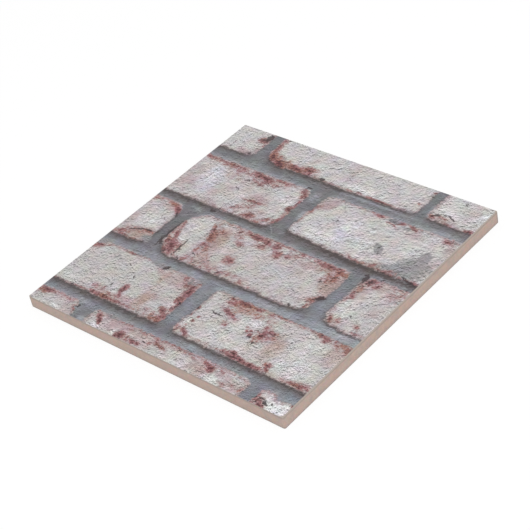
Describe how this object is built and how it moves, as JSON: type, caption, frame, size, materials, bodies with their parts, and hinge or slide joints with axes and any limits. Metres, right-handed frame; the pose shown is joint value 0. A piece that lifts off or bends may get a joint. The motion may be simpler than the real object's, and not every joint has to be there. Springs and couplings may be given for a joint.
{
  "type": "brick-effect wall tile",
  "caption": "Square glazed ceramic wall tile with a printed picture of old whitewashed brickwork on its flat face, bare clay sides and a keyed back.",
  "frame": {"origin": "middle of the tile's back, on the plane of the ribs that bed against a wall", "axes": "+Z out of the printed face, +X along the printed brick courses, +Y up the wall as the print is hung"},
  "size_m": [0.1524, 0.1524, 0.0063],
  "materials": {
    "fired_clay": "satin"
  },
  "bodies": {
    "root": {"tile": "fired_clay"}
  },
  "joints": []
}
